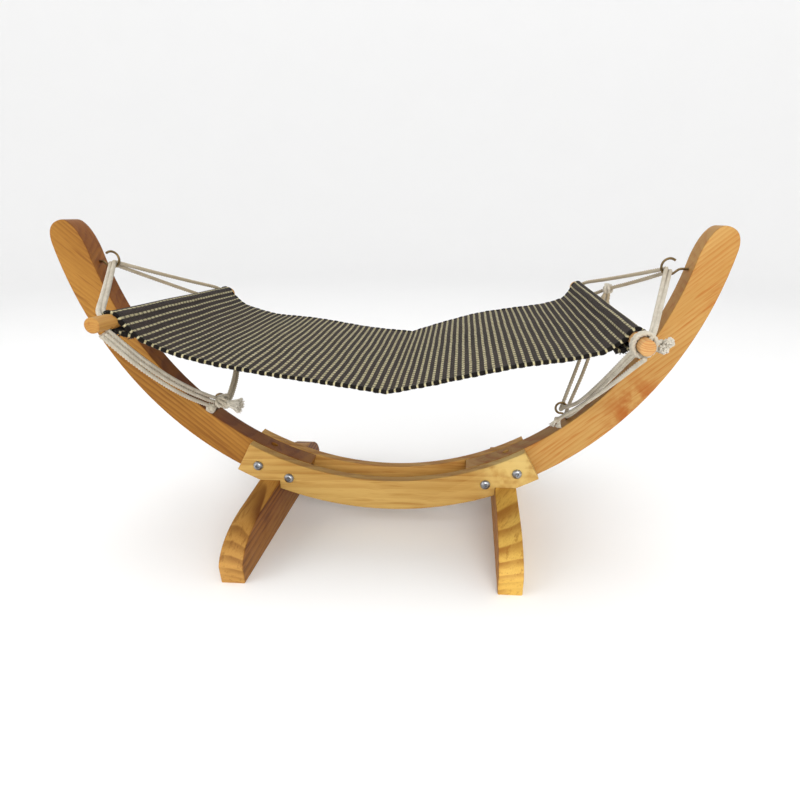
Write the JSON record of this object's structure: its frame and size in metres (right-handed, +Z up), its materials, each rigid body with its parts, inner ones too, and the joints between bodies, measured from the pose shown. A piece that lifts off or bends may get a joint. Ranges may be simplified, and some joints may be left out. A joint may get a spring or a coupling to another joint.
{
  "type": "hammock on stand",
  "caption": "Small pet hammock: a striped cloth sling between two dowels, roped to screw hooks on a curved bolted pine stand with cross-legs.",
  "frame": {"origin": "on the floor, under the middle of the whole object's box", "axes": "+X runs along the hammock from the left arm to the right arm, +Y goes to the rear along the dowels, +Z up"},
  "size_m": [0.7322, 0.3462, 0.3477],
  "materials": {
    "pine_boards": "honey-coloured pine, planed, thin satin oil finish, growth rings visible",
    "pale_dowel_wood": "turned pine dowel, end grain showing at the sawn ends",
    "zinc_steel": "bright zinc plate, lightly tarnished",
    "hook_wire": "dark bronze-plated bent wire",
    "cotton_rope": "undyed twisted cotton rope, fuzzy, matte",
    "striped_cloth": "thick charcoal weave with thin cream-yellow stripes running along the dowels"
  },
  "bodies": {
    "stand": {"arm_left": "pine_boards", "arm_right": "pine_boards", "rail_front": "pine_boards", "rail_rear": "pine_boards", "leg_left": "pine_boards", "leg_right": "pine_boards", "bolt_left_inner": "zinc_steel", "bolt_left_outer": "zinc_steel", "bolt_right_inner": "zinc_steel", "bolt_right_outer": "zinc_steel", "washer_left_inner": "zinc_steel", "washer_left_outer": "zinc_steel", "washer_right_inner": "zinc_steel", "washer_right_outer": "zinc_steel", "nut_left_inner": "zinc_steel", "nut_left_outer": "zinc_steel", "nut_right_inner": "zinc_steel", "nut_right_outer": "zinc_steel", "leg_screw_left": "zinc_steel", "leg_screw_right": "zinc_steel", "hook_upper_left": "hook_wire", "hook_upper_right": "hook_wire", "hook_lower_left": "hook_wire", "hook_lower_right": "hook_wire", "knot_lower_left": "cotton_rope", "tassel_lower_left": "cotton_rope", "knot_tail_left": "cotton_rope", "knot_tail_right": "cotton_rope"},
    "hammock": {"dowel_left": "pale_dowel_wood", "dowel_right": "pale_dowel_wood", "sling": "striped_cloth", "rope_left_upper_1": "cotton_rope", "rope_left_upper_2": "cotton_rope", "rope_left_lower_1": "cotton_rope", "rope_left_lower_2": "cotton_rope", "rope_left_tail": "cotton_rope", "rope_right_upper_1": "cotton_rope", "rope_right_upper_2": "cotton_rope", "rope_right_lower_1": "cotton_rope", "rope_right_lower_2": "cotton_rope", "rope_right_tail": "cotton_rope", "rope_right_tie": "cotton_rope", "knot_rear_left": "cotton_rope", "knot_rear_right": "cotton_rope", "knot_strand_right": "cotton_rope", "tassel_rear_right": "cotton_rope", "tassel_front_right": "cotton_rope", "rope_turn_right": "cotton_rope"}
  },
  "joints": [
    {"name": "swing", "type": "hinge", "parent": "stand", "child": "hammock", "pos_m": [0, 0, 0.304], "axis": [1, 0, 0], "range_deg": [-6, 6], "deforming": ["rope_left_lower_1", "rope_left_lower_2", "rope_left_tail", "rope_right_lower_1", "rope_right_lower_2", "rope_right_tail"]}
  ]
}
